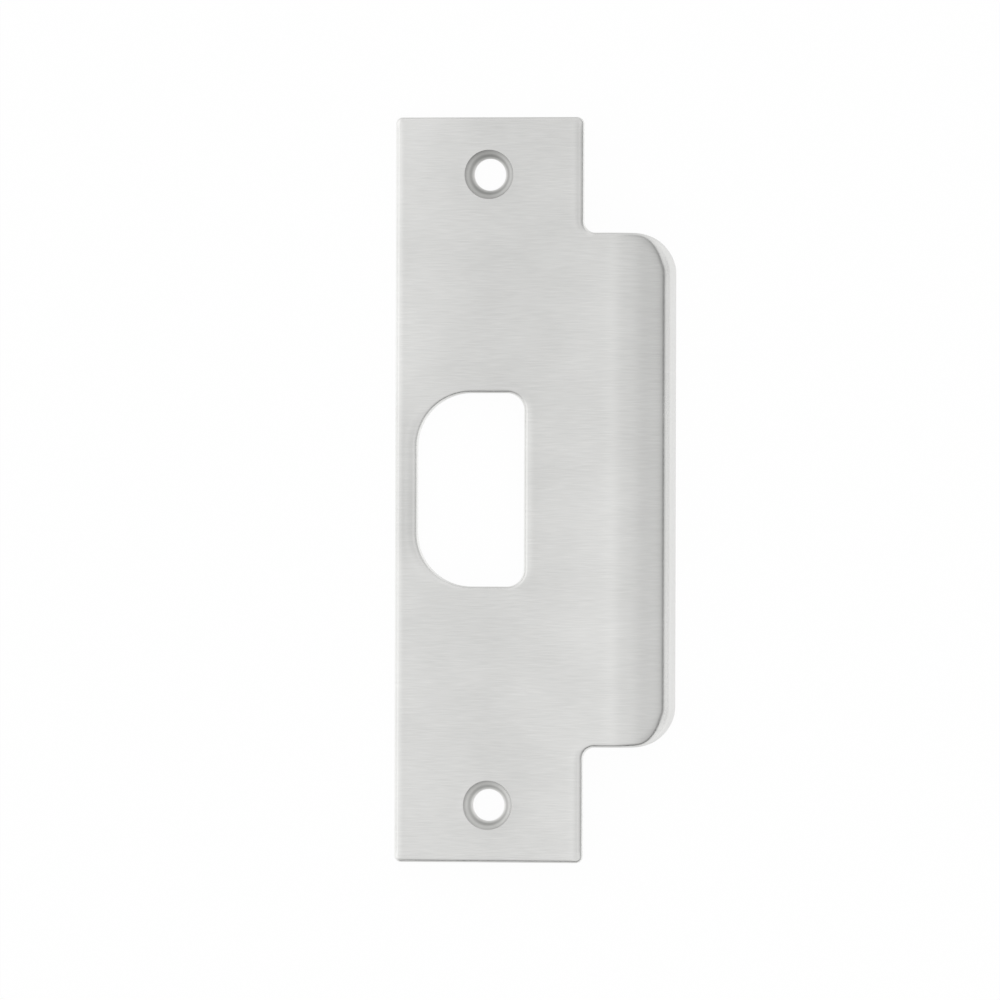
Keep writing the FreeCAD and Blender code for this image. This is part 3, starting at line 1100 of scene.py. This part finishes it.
def satin_stainless(finish, screw_y):
    """Satin stainless: brush lines across the plate, soft clouds, plainer punched walls, and turning
    marks in the countersinks, which are cos(2 pi (r - place) / spacing) at r from the hole's middle.
    Its tone also carries painted light: gradients across the face and the countersinks, a painted
    highlight on the edges and on the countersinks' sides, and painted shade beside the latch hole."""
    material = bpy.data.materials.new("satin_stainless")
    graph = Graph(material)
    place = graph.node("ShaderNodeTexCoord", {}, output="Object")
    cut, worn, sink, strip_shade = (graph.attribute(name) for name in ("cut", "worn", "sink", "strip_shade"))
    x, y = (graph.node("ShaderNodeSeparateXYZ", {}, place, output=axis) for axis in ("X", "Y"))
    length = finish.streak_length
    width = finish.streak_width
    fine = graph.noise(place, (length, width, length))
    broad = graph.noise(place, (BROAD_LENGTHS * length, BROAD_WIDTHS * width, BROAD_LENGTHS * length))
    cloud = graph.noise(place, (CLOUD_LENGTH, CLOUD_WIDTH, CLOUD_LENGTH))
    punched = graph.noise(place, (width, width, TEAR_LENGTHS * length))
    from_screw = y.maths("ABSOLUTE") - screw_y
    reach = (x * x + from_screw * from_screw) ** 0.5
    turns = (reach - finish.turning_place) * (2 * math.pi / finish.turning_width)
    turning = turns.maths("COSINE")
    streaks_and_painted_light = (
        MIDDLE
        + (fine - MIDDLE) * FINE_TONE
        + (broad - MIDDLE) * BROAD_TONE
        + (cloud - MIDDLE) * CLOUD_TONE
        # Painted light: lighter towards the foot, more so towards the lip, lighter away from the screws'
        # line, and darker towards the lip
        - y * (x * finish.twist + finish.trend)
        + x.maths("ABSOLUTE") * finish.valley
        - x * LIP_PAINTED_SHADE
    )
    tone = (
        streaks_and_painted_light * (1 - cut) * (1 - sink)
        + (punched - PUNCHED_LOSS) * cut
        # Painted highlight on the cut edges and on the countersinks' sides
        + worn * HIGHLIGHT_TONE
        # In a countersink: turning marks, a painted darkening towards the plate's head, and a loss that is
        # partly painted shade
        + (turning - y * SINK_PAINTED_LIGHT_TREND - SINK_LOSS) * sink
        # Painted shade on the narrow strip beside the latch hole
        - strip_shade * STRIP_SHADE_TONE
    )
    roughness = (
        finish.roughness
        + (broad - MIDDLE) * BROAD_ROUGHNESS
        + (cloud - MIDDLE) * CLOUD_ROUGHNESS
        + (cut + sink) * (finish.cut_roughness - finish.roughness)
    )
    relief = graph.node(
        "ShaderNodeBump", {}, Strength=1.0, Distance=finish.streak_depth,
        Height=fine * (1 - sink) + turning * sink)
    colour = graph.node(
        "ShaderNodeMix", {"data_type": "RGBA", "clamp_factor": False}, tone,
        _6=(*finish.dark, 1.0), _7=(*finish.light, 1.0), output=2)
    surface = graph.node(
        "ShaderNodeBsdfPrincipled", {},
        Base_Color=colour, Metallic=1.0, Roughness=roughness, Normal=relief)
    graph.node("ShaderNodeOutputMaterial", {}, surface)
    return material


def rest_tilt(sizes):
    """Angle that the plate leans by when it lies on the floor, on its long edge and its nose: both
    touch with arcs of the same radius, so the floor runs along the line of their centres."""
    run = sizes.nose + sizes.width / 2 - 2 * sizes.back_radius
    return math.atan2(-LOW.z, run)


class STRIKE_OT_stamped_plate(bpy.types.Operator):
    """Build the stamped plate with its rolled edges and satin finish"""

    bl_idname = "strike.stamped_plate"
    bl_label = "Stamped Plate"

    def execute(self, context):
        sizes = context.scene.strike_sizes
        finish = context.scene.strike_finish
        points, normals, faces, attributes = stamping(sizes)
        plate = mesh_object(
            "stamped_plate", points, normals, faces, attributes,
            satin_stainless(finish, sizes.screw_spacing / 2))
        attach(plate, "root")
        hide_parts(NODE)
        return {"FINISHED"}


# The floor's own grey, and how far it turns white where the camera or the metal sees it
FLOOR_GREY = 0.95
FLOOR_WHITE = 0.96

# Steps round the floor's edge, the width of the camera's sensor in millimetres, and how far it sees
# in metres
FLOOR_STEPS = 96
SENSOR_WIDTH = 36.0
CAMERA_REACH = 100.0


def floor_material():
    """White floor: plain to the light, and white to the camera and in the metal, with part of the
    plate's shadow kept."""
    material = bpy.data.materials.new("studio_floor")
    graph = Graph(material)
    camera, glossy, through = (
        graph.node("ShaderNodeLightPath", {}, output=f"Is {ray} Ray")
        for ray in ("Camera", "Glossy", "Transmission"))
    seen = camera.maths("MAXIMUM", glossy).maths("MAXIMUM", through)
    plain = graph.node("ShaderNodeBsdfDiffuse", {}, Color=(FLOOR_GREY, FLOOR_GREY, FLOOR_GREY, 1.0))
    white = graph.node("ShaderNodeEmission", {}, Color=(1.0, 1.0, 1.0, 1.0), Strength=1.0)
    surface = graph.node("ShaderNodeMixShader", {}, seen * FLOOR_WHITE, plain, white)
    graph.node("ShaderNodeOutputMaterial", {}, surface)
    return material


def light_sky(context, right, along, above, setup):
    """World light by direction, as a strip lamp overhead, large white cards and an open room give it.
    With x the direction's part to the right and h its height, it is
    sky + glow exp(-((x - place) / width)^2), and each side adds s^2 (fill + band exp(-(h / width)^2)),
    where s is the direction's part towards that side, or 0 away from it. It is never under 0."""
    world = bpy.data.worlds.new("studio_sky")
    context.scene.world = world
    graph = Graph(world)
    direction = graph.node("ShaderNodeTexCoord", {}, output="Generated")
    across, up_picture, height = (graph.part(direction, axis) for axis in (right, along, above))
    beside = (across - setup.glow_place) / setup.glow_width
    brightness = setup.sky + setup.glow * beside.bell()
    for side, fill, band, width in (
        (across, setup.right_fill, setup.right_band, setup.right_width),
        (-across, setup.left_fill, setup.left_band, setup.left_width),
        (-up_picture, setup.foot_fill, setup.foot_band, setup.foot_width),
        (up_picture, setup.head_fill, setup.head_band, setup.head_width),
    ):
        towards = side.maths("MAXIMUM", 0.0)
        brightness = brightness + towards * towards * (fill + band * (height / width).bell())
    brightness = brightness.maths("MAXIMUM", 0.0)
    background = graph.node("ShaderNodeBackground", {}, Color=(1.0, 1.0, 1.0, 1.0), Strength=brightness)
    graph.node("ShaderNodeOutputWorld", {}, background)


class STRIKE_OT_studio(bpy.types.Operator):
    """Set up the floor, the light and the camera"""

    bl_idname = "strike.studio"
    bl_label = "Studio"

    def execute(self, context):
        sizes = context.scene.strike_sizes
        setup = context.scene.strike_studio
        tilt = rest_tilt(sizes)
        right = Vector((math.cos(tilt), 0.0, -math.sin(tilt)))
        above = Vector((math.sin(tilt), 0.0, math.cos(tilt)))
        along = Vector((0.0, 1.0, 0.0))
        self.lay_floor(context, sizes, setup, right, along, above)
        light_sky(context, right, along, above, setup)
        self.place_camera(context, sizes, setup, right, along, above)
        context.scene.view_settings.view_transform = "Standard"
        return {"FINISHED"}

    def lay_floor(self, context, sizes, setup, right, along, above):
        """A round floor that touches the plate's long edge and its nose."""
        touch = Vector((-sizes.width / 2 + sizes.back_radius, 0.0, sizes.back_radius))
        middle = touch - above * sizes.back_radius
        angle = np.linspace(0.0, 2 * math.pi, FLOOR_STEPS, endpoint=False)
        ring = (
            np.array(middle)
            + setup.floor_radius * np.cos(angle)[:, None] * np.array(right)
            + setup.floor_radius * np.sin(angle)[:, None] * np.array(along)
        )
        mesh = bpy.data.meshes.new("studio_floor")
        mesh.from_pydata(ring.tolist(), [], [list(range(len(ring)))])
        mesh.materials.append(floor_material())
        floor = bpy.data.objects.new("studio_floor", mesh)
        context.scene.collection.objects.link(floor)

    def place_camera(self, context, sizes, setup, right, along, above):
        """A long lens straight over the plate as it lies."""
        data = bpy.data.cameras.new("camera")
        data.lens = setup.lens
        data.sensor_width = SENSOR_WIDTH
        data.clip_end = CAMERA_REACH
        camera = bpy.data.objects.new("camera", data)
        context.scene.collection.objects.link(camera)
        aim = Vector((setup.aim_x, setup.aim_y, sizes.thickness))
        image_right = right * math.cos(setup.roll) + along * math.sin(setup.roll)
        image_up = along * math.cos(setup.roll) - right * math.sin(setup.roll)
        turned = Matrix((image_right, image_up, above)).transposed().to_4x4()
        camera.matrix_world = Matrix.Translation(aim + above * setup.camera_distance) @ turned
        context.scene.camera = camera


class STRIKE_PT_sidebar(bpy.types.Panel):
    """Lists the steps that build the strike plate"""

    bl_idname = "STRIKE_PT_sidebar"
    bl_label = "Strike Plate"
    bl_space_type = "VIEW_3D"
    bl_region_type = "UI"
    bl_category = "Strike Plate"

    def draw(self, context):
        layout = self.layout
        for group in (context.scene.strike_sizes, context.scene.strike_finish, context.scene.strike_studio):
            box = layout.box()
            for name in group.bl_rna.properties.keys():
                if name not in ("rna_type", "name"):
                    box.prop(group, name)
        layout.operator(STRIKE_OT_stamped_plate.bl_idname)
        layout.operator(STRIKE_OT_studio.bl_idname)


CLASSES = (
    PlateSizes,
    SatinFinish,
    StudioSetup,
    STRIKE_OT_stamped_plate,
    STRIKE_OT_studio,
    STRIKE_PT_sidebar,
)


def register():
    """Makes the sizes, the finish, the studio, the steps and the sidebar known to Blender."""
    for cls in CLASSES:
        bpy.utils.register_class(cls)
    bpy.types.Scene.strike_sizes = bpy.props.PointerProperty(type=PlateSizes)
    bpy.types.Scene.strike_finish = bpy.props.PointerProperty(type=SatinFinish)
    bpy.types.Scene.strike_studio = bpy.props.PointerProperty(type=StudioSetup)


def unregister():
    """Takes them out again, in the opposite order."""
    del bpy.types.Scene.strike_studio
    del bpy.types.Scene.strike_finish
    del bpy.types.Scene.strike_sizes
    for cls in reversed(CLASSES):
        bpy.utils.unregister_class(cls)


def corners(box):
    """A box's two corners as plain lists of numbers."""
    return [[float(value) for value in corner] for corner in box]


def main():
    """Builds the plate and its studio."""
    register()
    bpy.ops.strike.stamped_plate()
    bpy.ops.strike.studio()


if __name__ == "__main__":
    main()
